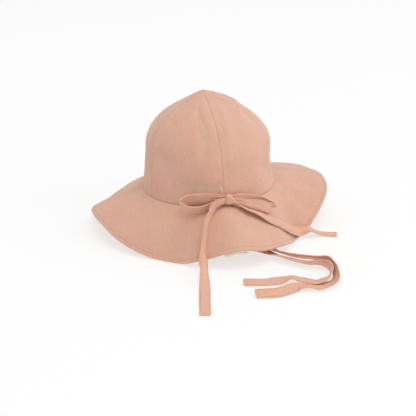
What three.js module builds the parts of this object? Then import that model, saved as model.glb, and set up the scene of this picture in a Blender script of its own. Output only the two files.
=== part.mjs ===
// Baby sun hat: a crown of five cloth panels, a wide soft brim, a bow at the back of the seam
// between them, a small bare label and two chin ties. It lies on a level surface.
// Millimetres. +Z is up, the surface is z = 0 and the hat's front is at +Y.
// A direction round the hat is an angle in degrees: 0 back, 90 right, 180 front, 270 left,
// as seen from behind and above.

import * as THREE from "three";
import { mergeVertices } from "three/addons/utils/BufferGeometryUtils.js";

// Driving dimensions
const headHalfWidth = 73;
const headHalfLength = 78;
const crownHeight = 106.5;
const seamHeight = 42.5;
const crownCloth = 1.8;
const brimCloth = 2.4;
const pieceGap = 0.3;
const panelMargin = 0.24;
const crownFoot = brimCloth / 2 + 0.39;
const panelSeams = [0, 77, 147, 217, 290];
const panelFlatness = 0.012;
const seamAllowance = 2;
const bowRibbon = { width: 11.5, thickness: 1.4 };
const chinRibbon = { width: 14, thickness: 1.4 };
const tieInset = 0.6;
const knot = { x: 4.8, y: -82.4, z: 56.8, width: 9.2, foot: 10, height: 10.6, depth: 7.4, bevel: 1.2 };
const label = { width: 7.5, thickness: 0.8 };

// The middle of the hat's footprint, which is put over the origin.
const footprint = { x: 2.4, y: -0.3 };

// The soft hat leans a little to its front left as it lies.
const leanDirection = 201;
const leanAngle = 5.4;

// The crown's half-widths at each height above the seam. The right side stands out at its
// shoulder, where the cloth is pulled into a corner.
const crownRows = [
  { height: 0, back: 78, right: 73, front: 78, left: 72.5 },
  { height: 16, back: 77, right: 70.5, front: 77, left: 70 },
  { height: 32, back: 75.5, right: 69, front: 76, left: 68 },
  { height: 45, back: 73.5, right: 70, front: 74, left: 66.4 },
  { height: 56, back: 69.5, right: 68.6, front: 70, left: 65.4 },
  { height: 67, back: 63, right: 62.6, front: 64, left: 61.5 },
  { height: 77, back: 54, right: 53.6, front: 55, left: 54.4 },
  { height: 86, back: 42, right: 42.7, front: 43, left: 42.9 },
  { height: 93.5, back: 29.5, right: 34, front: 30, left: 29 },
  { height: 99.5, back: 17.5, right: 23, front: 18, left: 17 },
  { height: 104, back: 8.5, right: 11.5, front: 9, left: 7.5 },
  { height: 106.5, back: 1.8, right: 1.8, front: 1.8, left: 1.8 },
];

// The brim's edge: its reach from the hat's middle and the height of its underside. A height
// under 0 is cloth that the surface holds up, so the brim lies flat there.
const brimRows = [
  { angle: 0, reach: 136, height: 21 },
  { angle: 14, reach: 132, height: 14.5 },
  { angle: 27, reach: 125, height: 9.5 },
  { angle: 38, reach: 117, height: 1 },
  { angle: 49, reach: 114, height: -5 },
  { angle: 60, reach: 123, height: 13 },
  { angle: 74, reach: 134, height: 34 },
  { angle: 90, reach: 136, height: 39 },
  { angle: 105, reach: 136, height: 35 },
  { angle: 120, reach: 137, height: 30 },
  { angle: 135, reach: 137, height: 21 },
  { angle: 150, reach: 136, height: 8 },
  { angle: 165, reach: 136, height: -5 },
  { angle: 180, reach: 136, height: -4 },
  { angle: 195, reach: 135, height: 3 },
  { angle: 210, reach: 133, height: 5 },
  { angle: 225, reach: 131, height: -2 },
  { angle: 237, reach: 130, height: -5 },
  { angle: 252, reach: 131, height: 8 },
  { angle: 270, reach: 132, height: 18 },
  { angle: 285, reach: 130.5, height: 18.5 },
  { angle: 300, reach: 128, height: 10 },
  { angle: 315, reach: 123, height: 0 },
  { angle: 328, reach: 121, height: -6.5 },
  { angle: 345, reach: 128, height: 8 },
];
const brimEase = 1.3;
const brimSteps = [1, 0.95, 0.9, 0.83, 0.72, 0.58, 0.42, 0.24, 0.08, 0];
const brimColumns = 96;
const panelColumns = 9;
const panelSteps = 13;

// Ribbons are tables of rows from one end to the other. A row is a free point, a point that
// lies over the brim (angle, share of the way out and lift off the cloth) or a point inside
// the head seam (angle and height above the seam). The ribbon's width points along a
// direction of turn degrees round the hat and rise degrees above level.
const leftLoop = [
  { x: -1.3, y: -80.3, z: 58.3, turn: 0, rise: 90, width: 6 },
  { x: -12, y: -79, z: 58.5, turn: 0, rise: 90, width: 9.5 },
  { x: -27, y: -76.5, z: 58, turn: 0, rise: 90, width: 11.5 },
  { x: -39.5, y: -73.5, z: 56, turn: 0, rise: 88, width: 11.5 },
  { x: -47, y: -77, z: 53, turn: 0, rise: 82, width: 11.5 },
  { x: -41, y: -83.5, z: 49.5, turn: 0, rise: 74, width: 11.5 },
  { x: -30, y: -85.5, z: 48.5, turn: 0, rise: 70, width: 11.5 },
  { x: -15, y: -84.5, z: 52, turn: 0, rise: 76, width: 9.5 },
  { x: -1.35, y: -82.4, z: 55.6, turn: 0, rise: 88, width: 6 },
];
const rightLoop = [
  { x: 10.9, y: -80.3, z: 58, turn: 347, rise: 88, width: 6 },
  { x: 18, y: -80.5, z: 57, turn: 347, rise: 88, width: 9.5 },
  { x: 30, y: -81, z: 53.8, turn: 350, rise: 88, width: 11.5 },
  { x: 41, y: -80.2, z: 50.2, turn: 12, rise: 80, width: 11.5 },
  { x: 48.5, y: -82, z: 46.4, turn: 60, rise: 45, width: 11.5 },
  { x: 50.2, y: -85.6, z: 44.2, turn: 100, rise: 24, width: 11.5 },
  { x: 45.5, y: -88.2, z: 46, turn: 140, rise: 45, width: 11.5 },
  { x: 37, y: -87.6, z: 49.4, turn: 160, rise: 64, width: 11.5 },
  { x: 25, y: -86.4, z: 52.2, turn: 167, rise: 52, width: 9 },
  { x: 10.9, y: -82.6, z: 55.8, turn: 167, rise: 80, width: 6 },
];
const leftTail = [
  { x: -1.2, y: -84.6, z: 56.6, turn: 0, rise: 90, width: 6 },
  { x: -7, y: -87.5, z: 57, turn: 300, rise: 80, width: 8 },
  { x: -13, y: -89, z: 54.2, turn: 280, rise: 82, width: 9 },
  { x: -16.7, y: -91, z: 48.5, turn: 300, rise: 86, width: 10 },
  { angle: 347.8, share: 0.47, lift: 6.2, turn: 257, rise: 83, width: 11 },
  { angle: 346.8, share: 0.74, lift: 6.2, turn: 257, rise: 79, width: 11.5 },
  { angle: 346.7, share: 0.97, lift: 6.8, turn: 257, rise: 70, width: 11.5 },
  { x: -34.6, y: -135, z: 6.2, turn: 257, rise: 48, width: 11.5 },
  { x: -37.5, y: -151, z: 4, turn: 257, rise: 32, width: 11.5 },
  { x: -41.5, y: -170, z: 1.8, turn: 257, rise: 8, width: 11.5 },
  { x: -46, y: -190, z: 1, turn: 257, rise: 0, width: 11.5 },
  { x: -52, y: -219, z: 1, turn: 257, rise: 0, width: 11.5 },
];
const rightTail = [
  { x: 11.6, y: -85.4, z: 52.4, turn: 347, rise: 60, width: 6 },
  { x: 20, y: -89.6, z: 48.6, turn: 350, rise: 15, width: 9.5 },
  { angle: 19.5, share: 0.39, lift: 3.6, turn: 5, rise: -8, width: 11.5 },
  { angle: 25.5, share: 0.53, lift: 2.8, turn: 15, rise: -38, width: 11.5 },
  { angle: 33, share: 0.66, lift: 3, turn: 25, rise: -56, width: 11.5 },
  { angle: 41, share: 0.79, lift: 4, turn: 30, rise: -60, width: 11.5 },
  { angle: 48.5, share: 0.95, lift: 6.5, turn: 20, rise: -46, width: 11.5 },
  { x: 97, y: -73.5, z: 9.5, turn: 8, rise: -12, width: 11.5 },
  { x: 109, y: -73, z: 3, turn: 0, rise: 0, width: 11.5 },
  { x: 119, y: -74, z: 1, turn: 0, rise: 0, width: 11.5 },
  { x: 128.5, y: -77, z: 1, turn: 0, rise: 0, width: 11.5 },
];
const rightTie = [
  { angle: 75, above: 5, turn: 165, rise: 0 },
  { angle: 75, above: -8, turn: 165, rise: 0 },
  { x: 63, y: -21, z: 19, turn: 190, rise: 0 },
  { x: 53, y: -31, z: 4, turn: 221, rise: 0 },
  { x: 42, y: -48, z: 2.6, turn: 252, rise: 0 },
  { x: 38, y: -69, z: 3.6, turn: 270, rise: 0 },
  { x: 41, y: -89, z: 3.8, turn: 285, rise: 6 },
  { x: 48.5, y: -107, z: 4.4, turn: 305, rise: 26 },
  { x: 58, y: -120.2, z: 5.6, turn: 322, rise: 39 },
  { x: 68.5, y: -128.6, z: 5.9, turn: 329, rise: 41 },
  { x: 80, y: -133.8, z: 5.8, turn: 334, rise: 41 },
  { x: 89.8, y: -140.4, z: 6.2, turn: 326, rise: 47 },
  { x: 94.2, y: -149.4, z: 7.4, turn: 318, rise: 66 },
  { x: 93.8, y: -161.5, z: 7.9, turn: 320, rise: 87 },
  { x: 91.3, y: -175.5, z: 7.2, turn: 65, rise: 70 },
  { x: 85.2, y: -186.4, z: 4.2, turn: 40, rise: 27 },
  { x: 76.1, y: -189, z: 2.5, turn: 5, rise: 10 },
  { x: 67.5, y: -191, z: 2.2, turn: 346, rise: 8 },
  { x: 60.5, y: -190.5, z: 3.4, turn: 344, rise: 19 },
  { x: 55, y: -187, z: 2.5, turn: 342, rise: 12 },
  { x: 48.5, y: -185, z: 1.8, turn: 340, rise: -6 },
  { x: 38.6, y: -189.2, z: 2.3, turn: 348, rise: -10 },
  { x: 25.5, y: -193.3, z: 2.5, turn: 346, rise: -12 },
  { x: 3.9, y: -190.9, z: 2.6, turn: 359, rise: -12 },
];
const leftTie = [
  { angle: 285, above: 5, turn: 15, rise: 0 },
  { angle: 285, above: -8, turn: 15, rise: 0 },
  { x: -61, y: -21, z: 17, turn: 350, rise: 0 },
  { x: -49, y: -32, z: 3.5, turn: 325, rise: 0 },
  { x: -26, y: -49, z: 1.2, turn: 322, rise: 0 },
  { x: 6, y: -70, z: 1.2, turn: 320, rise: 0 },
  { x: 32, y: -92, z: 1.6, turn: 312, rise: 3 },
  { x: 42.5, y: -111, z: 3.2, turn: 308, rise: 16 },
  { x: 51, y: -124.8, z: 5.2, turn: 320, rise: 35 },
  { x: 61.4, y: -135.5, z: 5.6, turn: 329, rise: 39 },
  { x: 72.3, y: -143.6, z: 5.5, turn: 334, rise: 39 },
  { x: 82.2, y: -146.5, z: 5.8, turn: 330, rise: 43 },
  { x: 88.6, y: -154.5, z: 6.6, turn: 325, rise: 56 },
  { x: 89.6, y: -165, z: 7.8, turn: 320, rise: 86 },
  { x: 86.6, y: -174.6, z: 7.3, turn: 62, rise: 70 },
  { x: 78.8, y: -180.2, z: 4.9, turn: 30, rise: 27 },
  { x: 71, y: -181.2, z: 2.6, turn: 350, rise: 13 },
  { x: 62.8, y: -176.7, z: 2.1, turn: 339, rise: 8 },
  { x: 56, y: -171.3, z: 2.1, turn: 337, rise: 9 },
  { x: 49.2, y: -167, z: 3, turn: 340, rise: 16 },
  { x: 40.2, y: -166.6, z: 1.6, turn: 342, rise: 4 },
  { x: 33, y: -168.6, z: 1.5, turn: 346, rise: -4 },
  { x: 20.3, y: -167.5, z: 1.2, turn: 347, rise: 0 },
  { x: -0.9, y: -163.2, z: 1.4, turn: 358, rise: -3 },
];

// The bare label hangs on edge from the underside of the brim, just inside the hem.
const labelTape = [
  { angle: 353.8, share: 0.965, lift: -6.7, turn: 354, rise: 75 },
  { angle: 357.9, share: 0.965, lift: -6.7, turn: 358, rise: 75 },
  { angle: 2, share: 0.965, lift: -6.7, turn: 2, rise: 75 },
  { angle: 6.1, share: 0.965, lift: -6.7, turn: 6, rise: 75 },
];

// Colours
const peach = 0xdbae97;
const palePeach = 0xe2b8a2;
const cream = 0xefe6d8;

const up = new THREE.Vector3(0, 0, 1);
const radians = THREE.MathUtils.degToRad;

function direction(angle) {
  return new THREE.Vector3(Math.sin(radians(angle)), -Math.cos(radians(angle)), 0);
}

const lean = new THREE.Quaternion().setFromAxisAngle(
  new THREE.Vector3().crossVectors(up, direction(leanDirection)),
  radians(leanAngle),
);

function leaned(point) {
  point.applyQuaternion(lean);
  point.z += seamHeight;
  return point;
}

// One value between four neighbours, by a smooth cubic.
function cubic(before, from, to, after, share) {
  const bend = 2 * before - 5 * from + 4 * to - after;
  const twist = 3 * (from - to) + after - before;
  return from + 0.5 * share * (to - before + share * (bend + share * twist));
}

// A named column of a table at a place between its rows.
function columnAt(rows, name, place, closed) {
  const last = rows.length - 1;
  const row = Math.min(Math.floor(place), closed ? last : last - 1);
  const value = (k) => {
    const at = closed ? (k + rows.length) % rows.length : Math.min(Math.max(k, 0), last);
    return rows[at][name];
  };
  return cubic(value(row - 1), value(row), value(row + 1), value(row + 2), place - row);
}

// An oval with a half-width of its own on each of its four sides.
function ovalRadius(angle, widths) {
  const turned = direction(angle);
  const side = turned.x > 0 ? widths.right : widths.left;
  const end = turned.y > 0 ? widths.front : widths.back;
  return 1 / Math.hypot(turned.x / side, turned.y / end);
}

// A cloth wall of even thickness about a middle surface given as a grid of points. The grid's
// first index runs anticlockwise round the hat and its second one up or inward, so that the
// normals point out. A closed wall meets itself all round.
function clothWall(grid, thickness, closed) {
  const columns = grid.length;
  const rows = grid[0].length;
  const around = (i) => (closed ? (i + columns) % columns : Math.min(Math.max(i, 0), columns - 1));
  const along = (j) => Math.min(Math.max(j, 0), rows - 1);
  const outside = [];
  const inside = [];
  for (let i = 0; i < columns; i += 1) {
    for (let j = 0; j < rows; j += 1) {
      const across = grid[around(i + 1)][j].clone().sub(grid[around(i - 1)][j]);
      const rise = grid[i][along(j + 1)].clone().sub(grid[i][along(j - 1)]);
      const normal = across.cross(rise).normalize();
      const outer = grid[i][j].clone().addScaledVector(normal, thickness / 2);
      const inner = grid[i][j].clone().addScaledVector(normal, -thickness / 2);
      inner.z = Math.max(inner.z, 0);
      outer.z = Math.max(outer.z, inner.z + thickness * normal.z);
      outside.push(outer);
      inside.push(inner);
    }
  }
  const points = [...outside, ...inside];
  const outerAt = (i, j) => around(i) * rows + j;
  const innerAt = (i, j) => outside.length + around(i) * rows + j;
  const faces = [];
  const quad = (a, b, c, d) => faces.push(a, b, c, a, c, d);
  const spans = closed ? columns : columns - 1;
  for (let i = 0; i < spans; i += 1) {
    for (let j = 0; j < rows - 1; j += 1) {
      quad(outerAt(i, j), outerAt(i + 1, j), outerAt(i + 1, j + 1), outerAt(i, j + 1));
      quad(innerAt(i, j), innerAt(i, j + 1), innerAt(i + 1, j + 1), innerAt(i + 1, j));
    }
    quad(outerAt(i, 0), innerAt(i, 0), innerAt(i + 1, 0), outerAt(i + 1, 0));
    quad(outerAt(i, rows - 1), outerAt(i + 1, rows - 1), innerAt(i + 1, rows - 1), innerAt(i, rows - 1));
  }
  if (!closed) {
    for (let j = 0; j < rows - 1; j += 1) {
      quad(outerAt(0, j), outerAt(0, j + 1), innerAt(0, j + 1), innerAt(0, j));
      quad(outerAt(spans, j), innerAt(spans, j), innerAt(spans, j + 1), outerAt(spans, j + 1));
    }
  }
  return solid(points, faces);
}

function solid(points, faces) {
  const geometry = new THREE.BufferGeometry();
  geometry.setAttribute("position", new THREE.Float32BufferAttribute(points.flatMap((p) => p.toArray()), 3));
  geometry.setIndex(faces);
  return mergeVertices(geometry);
}

function mesh(name, geometry, color) {
  geometry.computeVertexNormals();
  const cloth = new THREE.MeshStandardMaterial({ color, roughness: 0.9, metalness: 0 });
  const made = new THREE.Mesh(geometry, cloth);
  made.name = name;
  return made;
}

// Crown
function panelSpan(number) {
  const from = panelSeams[number];
  const to = number + 1 < panelSeams.length ? panelSeams[number + 1] : 360;
  return { from, to };
}

// How far across its panel a direction lies, from 0 at one seam to 1 at the next.
function panelShare(angle) {
  const turned = ((angle % 360) + 360) % 360;
  const { from, to } = panelSpan(panelSeams.findLastIndex((seam) => seam <= turned));
  return (turned - from) / (to - from);
}

// A point of the crown's middle surface: share runs from 0 at the seam to 1 at the top.
function crownPoint(angle, share) {
  const place = share * (crownRows.length - 1);
  const widths = {};
  for (const name of ["back", "right", "front", "left"]) {
    widths[name] = columnAt(crownRows, name, place, false);
  }
  const height = columnAt(crownRows, "height", place, false);
  const across = panelShare(angle);
  const ridge = panelFlatness * Math.sin(Math.PI * share) * Math.cos(2 * Math.PI * across);
  const radius = ovalRadius(angle, widths) * (1 + ridge);
  const footed = crownFoot + (height * (crownHeight - crownFoot)) / crownHeight;
  return direction(angle).multiplyScalar(radius).setZ(footed);
}

function crownPanel(number) {
  const { from, to } = panelSpan(number);
  const grid = [];
  for (let i = 0; i <= panelColumns; i += 1) {
    const column = [];
    for (let j = 0; j <= panelSteps; j += 1) {
      const share = j / panelSteps;
      const angle = from + ((to - from) * i) / panelColumns;
      const radius = Math.hypot(crownPoint(angle, share).x, crownPoint(angle, share).y);
      const margin = THREE.MathUtils.radToDeg(panelMargin / radius);
      const inset = margin * (1 - (2 * i) / panelColumns);
      column.push(leaned(crownPoint(angle + inset, share)));
    }
    grid.push(column);
  }
  return clothWall(grid, crownCloth, false);
}

// Brim
function edgeAt(angle, name) {
  const turned = ((angle % 360) + 360) % 360;
  let row = brimRows.length - 1;
  while (brimRows[row].angle > turned) {
    row -= 1;
  }
  const from = brimRows[row].angle;
  const to = row + 1 < brimRows.length ? brimRows[row + 1].angle : 360;
  return columnAt(brimRows, name, row + (turned - from) / (to - from), true);
}

function seamWidths() {
  const side = headHalfWidth - seamAllowance;
  const end = headHalfLength - seamAllowance;
  return { back: end, right: side, front: end, left: side };
}

// A point of the brim's middle surface: share runs from 0 at the seam to 1 at the edge.
function brimPoint(angle, share) {
  const inner = leaned(direction(angle).multiplyScalar(ovalRadius(angle, seamWidths())));
  const outer = direction(angle).multiplyScalar(edgeAt(angle, "reach"));
  const drop = inner.z - edgeAt(angle, "height") - brimCloth / 2;
  const point = inner.clone().lerp(outer, share);
  point.z = inner.z - drop * share ** brimEase;
  point.z = Math.max(point.z, brimCloth / 2);
  return point;
}

function brim() {
  const grid = [];
  for (let i = 0; i < brimColumns; i += 1) {
    grid.push(brimSteps.map((share) => brimPoint((360 * i) / brimColumns, share)));
  }
  return clothWall(grid, brimCloth, true);
}

// Ribbons
const stepsPerRow = { loop: 3, tail: 1, tie: 1, label: 2 };
const ribbonChamfer = 0.35;

// The brim's slope under a row is taken over this span of degrees and of its width.
const slopeSpan = { angle: 2, share: 0.04 };

function onBrim(row) {
  const { angle, share, lift } = row;
  const around = brimPoint(angle + slopeSpan.angle, share).sub(brimPoint(angle - slopeSpan.angle, share));
  const further = brimPoint(angle, Math.min(share + slopeSpan.share, 1));
  const inward = brimPoint(angle, share - slopeSpan.share).sub(further);
  const normal = around.cross(inward).normalize();
  return brimPoint(angle, share).addScaledVector(normal, brimCloth / 2 + lift);
}

function inSeam(row, thickness) {
  const radius = ovalRadius(row.angle, seamWidths()) - pieceGap - tieInset - thickness / 2;
  return leaned(direction(row.angle).multiplyScalar(radius).setZ(row.above));
}

function routePoint(row, thickness) {
  if ("share" in row) {
    return onBrim(row);
  }
  return "above" in row ? inSeam(row, thickness) : new THREE.Vector3(row.x, row.y, row.z);
}

function ribbon(rows, size, stepsBetweenRows) {
  const spans = rows.length - 1;
  const steps = spans * stepsBetweenRows;
  const middle = new THREE.CatmullRomCurve3(rows.map((row) => routePoint(row, size.thickness)));
  const width = new THREE.CatmullRomCurve3(rows.map((row) => {
    const level = direction(row.turn).multiplyScalar(Math.cos(radians(row.rise)));
    return level.setZ(Math.sin(radians(row.rise)));
  }));
  const points = [];
  let corners = [];
  for (let step = 0; step <= steps; step += 1) {
    const place = step / steps;
    const along = middle.getTangent(place);
    const across = width.getPoint(place);
    across.addScaledVector(along, -across.dot(along)).normalize();
    const lift = along.clone().cross(across);
    const breadth = "width" in rows[0] ? columnAt(rows, "width", place * spans, false) : size.width;
    corners = sectionCorners(breadth / 2, size.thickness / 2);
    for (const [side, face] of corners) {
      points.push(middle.getPoint(place).addScaledVector(across, side).addScaledVector(lift, face));
    }
  }
  return solid(points, tubeFaces(steps, corners.length));
}

// The corners of a flat section with its edges taken off.
function sectionCorners(side, face) {
  const nearSide = side - ribbonChamfer;
  const nearFace = face - ribbonChamfer;
  return [
    [side, -nearFace],
    [side, nearFace],
    [nearSide, face],
    [-nearSide, face],
    [-side, nearFace],
    [-side, -nearFace],
    [-nearSide, -face],
    [nearSide, -face],
  ];
}

function tubeFaces(steps, corners) {
  const faces = [];
  for (let step = 0; step < steps; step += 1) {
    for (let corner = 0; corner < corners; corner += 1) {
      const next = (corner + 1) % corners;
      const a = step * corners + corner;
      const b = step * corners + next;
      faces.push(a, b, b + corners, a, b + corners, a + corners);
    }
  }
  const end = steps * corners;
  for (let corner = 1; corner < corners - 1; corner += 1) {
    faces.push(0, corner + 1, corner, end, end + corner, end + corner + 1);
  }
  return faces;
}

function bowKnot() {
  const top = knot.width / 2 - knot.bevel;
  const foot = knot.foot / 2 - knot.bevel;
  const half = knot.height / 2 - knot.bevel;
  const outline = new THREE.Shape([
    new THREE.Vector2(-foot, -half),
    new THREE.Vector2(foot, -half),
    new THREE.Vector2(top, half),
    new THREE.Vector2(-top, half),
  ]);
  const flat = knot.depth - 2 * knot.bevel;
  const geometry = new THREE.ExtrudeGeometry(outline, {
    depth: flat,
    bevelEnabled: true,
    bevelSize: knot.bevel,
    bevelThickness: knot.bevel,
    bevelSegments: 2,
  });
  geometry.translate(0, 0, -flat / 2);
  geometry.rotateX(Math.PI / 2);
  return geometry;
}

const hat = new THREE.Group();
for (let number = 0; number < panelSeams.length; number += 1) {
  hat.add(mesh(`crown_panel_${number + 1}`, crownPanel(number), number % 2 ? palePeach : peach));
}
hat.add(mesh("brim", brim(), peach));

const knotMesh = mesh("bow_knot", bowKnot(), palePeach);
knotMesh.position.set(knot.x, knot.y, knot.z);
hat.add(knotMesh);
hat.add(mesh("bow_loop_left", ribbon(leftLoop, bowRibbon, stepsPerRow.loop), palePeach));
hat.add(mesh("bow_loop_right", ribbon(rightLoop, bowRibbon, stepsPerRow.loop), palePeach));
hat.add(mesh("bow_tail_left", ribbon(leftTail, bowRibbon, stepsPerRow.tail), palePeach));
hat.add(mesh("bow_tail_right", ribbon(rightTail, bowRibbon, stepsPerRow.tail), palePeach));
hat.add(mesh("chin_tie_left", ribbon(leftTie, chinRibbon, stepsPerRow.tie), palePeach));
hat.add(mesh("chin_tie_right", ribbon(rightTie, chinRibbon, stepsPerRow.tie), palePeach));

hat.add(mesh("label", ribbon(labelTape, label, stepsPerRow.label), cream));

hat.position.set(-footprint.x, -footprint.y, 0);

export default hat;
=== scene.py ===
# A baby sun hat of soft peach cotton: a crown of five panels, a wide wavy brim with a stitched
# hem, a bow at the back of the head seam, two chin ties on the floor and a small bare label.
# Shapes are worked out in millimetres about the hat's middle and put in the frame in metres.
# A direction round the hat is an angle in degrees: 0 back, 90 right, 180 front, 270 left.

import itertools
import math

import bmesh
import bpy
import numpy as np
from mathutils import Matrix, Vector


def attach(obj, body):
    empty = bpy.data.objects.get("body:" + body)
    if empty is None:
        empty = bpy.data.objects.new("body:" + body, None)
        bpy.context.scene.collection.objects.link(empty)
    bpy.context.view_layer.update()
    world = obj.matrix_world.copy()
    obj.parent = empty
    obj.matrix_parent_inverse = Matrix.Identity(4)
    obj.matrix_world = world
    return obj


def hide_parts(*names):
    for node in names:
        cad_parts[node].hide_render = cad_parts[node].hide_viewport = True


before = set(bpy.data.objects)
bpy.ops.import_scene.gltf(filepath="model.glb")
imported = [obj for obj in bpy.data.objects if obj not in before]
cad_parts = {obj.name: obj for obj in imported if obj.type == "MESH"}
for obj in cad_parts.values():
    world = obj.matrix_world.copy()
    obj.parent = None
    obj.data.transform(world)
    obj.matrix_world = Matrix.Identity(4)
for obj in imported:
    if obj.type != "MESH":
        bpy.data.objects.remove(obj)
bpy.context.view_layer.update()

MM = 0.001
MIDDLE = np.array([-2.4, 0.3, 0.0])

# Sizes of the hat
CROWN_HEIGHT = 106.5
SEAM_HEIGHT = 42.5
CROWN_CLOTH = 1.8
BRIM_CLOTH = 2.4
CROWN_FOOT = 1.59
BRIM_EASE = 1.3
PANEL_FLATNESS = 0.012
PANEL_SEAMS = [0, 77, 147, 217, 290]
SEAM_OVAL = [76, 71, 76, 71]
LEAN_DIRECTION = 201
LEAN_ANGLE = 5.4
RIBBON_CLOTH = 1.4
BOW_WIDTH = 11.5
TIE_WIDTH = 14
LABEL_WIDTH = 7.5
TUCK_WIDTH = 5.5
PIECE_GAP = 0.3
TIE_INSET = 0.6
FLOOR_EASE = 5.0
FLOOR_SINK = 0.07
SLOPE_TURN = 2
SLOPE_SHARE = 0.04
ROUTE_STEPS = 24

# Height over the seam, then the half-width at the back, right, front and left
CROWN_ROWS = np.array([
    (0, 78, 73, 78, 72.5),
    (16, 77, 70.5, 77, 70),
    (32, 75.5, 69, 76, 68),
    (45, 73.5, 70, 74, 66.4),
    (56, 69.5, 68.6, 70, 65.4),
    (67, 63, 62.6, 64, 61.5),
    (77, 54, 53.6, 55, 54.4),
    (86, 42, 42.7, 43, 42.9),
    (93.5, 29.5, 34, 30, 29),
    (99.5, 17.5, 23, 18, 17),
    (104, 8.5, 11.5, 9, 7.5),
    (106.5, 1.8, 1.8, 1.8, 1.8),
])

# Angle, reach of the brim's edge and height of its underside
BRIM_ROWS = np.array([
    (0, 136, 21), (14, 132, 14.5), (27, 125, 9.5), (38, 117, 1), (49, 114, -5),
    (60, 123, 13), (74, 134, 34), (90, 136, 39), (105, 136, 35), (120, 137, 30),
    (135, 137, 21), (150, 136, 8), (165, 136, -5), (180, 136, -4), (195, 135, 3),
    (210, 133, 5), (225, 131, -2), (237, 130, -5), (252, 131, 8), (270, 132, 18),
    (285, 130.5, 18.5), (300, 128, 10), (315, 123, 0), (328, 121, -6.5), (345, 128, 8),
])

# Ribbon routes. A free row is x, y, z, a row over the brim is ("brim", angle, share of the way
# out, lift off the cloth) and a row in the head seam is ("seam", angle, height above it). Each
# row ends with the turn and rise of the ribbon's width in degrees, and its width.
LEFT_LOOP = [
    (-1.3, -80.3, 58.3, 0, 90, 6),
    (-12, -79, 58.5, 0, 90, 9.5),
    (-27, -76.5, 58, 0, 90, 11.5),
    (-39.5, -73.5, 56, 0, 88, 11.5),
    (-47, -77, 53, 0, 82, 11.5),
    (-41, -83.5, 49.5, 0, 74, 11.5),
    (-30, -85.5, 48.5, 0, 70, 11.5),
    (-15, -84.5, 52, 0, 76, 9.5),
    (-1.35, -82.4, 55.6, 0, 88, 6),
]
RIGHT_LOOP = [
    (10.9, -80.3, 58, 347, 88, 6),
    (18, -80.5, 57, 347, 88, 9.5),
    (30, -81, 53.8, 350, 88, 11.5),
    (41, -80.2, 50.2, 12, 80, 11.5),
    (48.5, -82, 46.4, 60, 45, 11.5),
    (50.2, -85.6, 44.2, 100, 24, 11.5),
    (45.5, -88.2, 46, 140, 45, 11.5),
    (37, -87.6, 49.4, 160, 64, 11.5),
    (25, -86.4, 52.2, 167, 52, 9),
    (10.9, -82.6, 55.8, 167, 80, 6),
]
LEFT_TAIL = [
    (-1.2, -84.6, 56.6, 0, 90, 6),
    (-7, -87.5, 57, 300, 80, 8),
    (-13, -89, 54.2, 280, 82, 9),
    (-16.7, -91, 48.5, 300, 86, 10),
    ("brim", 347.8, 0.47, 6.2, 257, 83, 11),
    ("brim", 346.8, 0.74, 6.2, 257, 79, 11.5),
    ("brim", 346.7, 0.97, 6.8, 257, 70, 11.5),
    (-34.6, -135, 6.2, 257, 48, 11.5),
    (-37.5, -151, 4, 257, 32, 11.5),
    (-41.5, -170, 1.8, 257, 8, 11.5),
    (-46, -190, 1, 257, 0, 11.5),
    (-52, -219, 1, 257, 0, 11.5),
]
RIGHT_TAIL = [
    (11.6, -85.4, 52.4, 347, 60, 6),
    (20, -89.6, 48.6, 350, 15, 9.5),
    ("brim", 19.5, 0.39, 3.6, 5, -8, 11.5),
    ("brim", 25.5, 0.53, 2.8, 15, -38, 11.5),
    ("brim", 33, 0.66, 3, 25, -56, 11.5),
    ("brim", 41, 0.79, 4, 30, -60, 11.5),
    ("brim", 48.5, 0.95, 6.5, 20, -46, 11.5),
    (97, -73.5, 9.5, 8, -12, 11.5),
    (109, -73, 3, 0, 0, 11.5),
    (119, -74, 1, 0, 0, 11.5),
    (128.5, -77, 1, 0, 0, 11.5),
]
RIGHT_TIE = [
    ("seam", 75, 5, 165, 0, 14),
    ("seam", 75, -8, 165, 0, 14),
    (63, -21, 19, 190, 0, 14),
    (53, -31, 4, 221, 0, 14),
    (42, -48, 2.6, 252, 0, 14),
    (38, -69, 3.6, 270, 0, 14),
    (41, -89, 3.8, 285, 6, 14),
    (48.5, -107, 4.4, 305, 26, 14),
    (58, -120.2, 5.6, 322, 39, 14),
    (68.5, -128.6, 5.9, 329, 41, 14),
    (80, -133.8, 5.8, 334, 41, 14),
    (89.8, -140.4, 6.2, 326, 47, 14),
    (94.2, -149.4, 7.4, 318, 66, 14),
    (93.8, -161.5, 7.9, 320, 87, 14),
    (91.3, -175.5, 7.2, 65, 70, 14),
    (85.2, -186.4, 4.2, 40, 27, 14),
    (76.1, -189, 2.5, 5, 10, 14),
    (67.5, -191, 2.2, 346, 8, 14),
    (60.5, -190.5, 3.4, 344, 19, 14),
    (55, -187, 2.5, 342, 12, 14),
    (48.5, -185, 1.8, 340, -6, 14),
    (38.6, -189.2, 2.3, 348, -10, 14),
    (25.5, -193.3, 2.5, 346, -12, 14),
    (3.9, -190.9, 2.6, 359, -12, 14),
]
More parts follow.
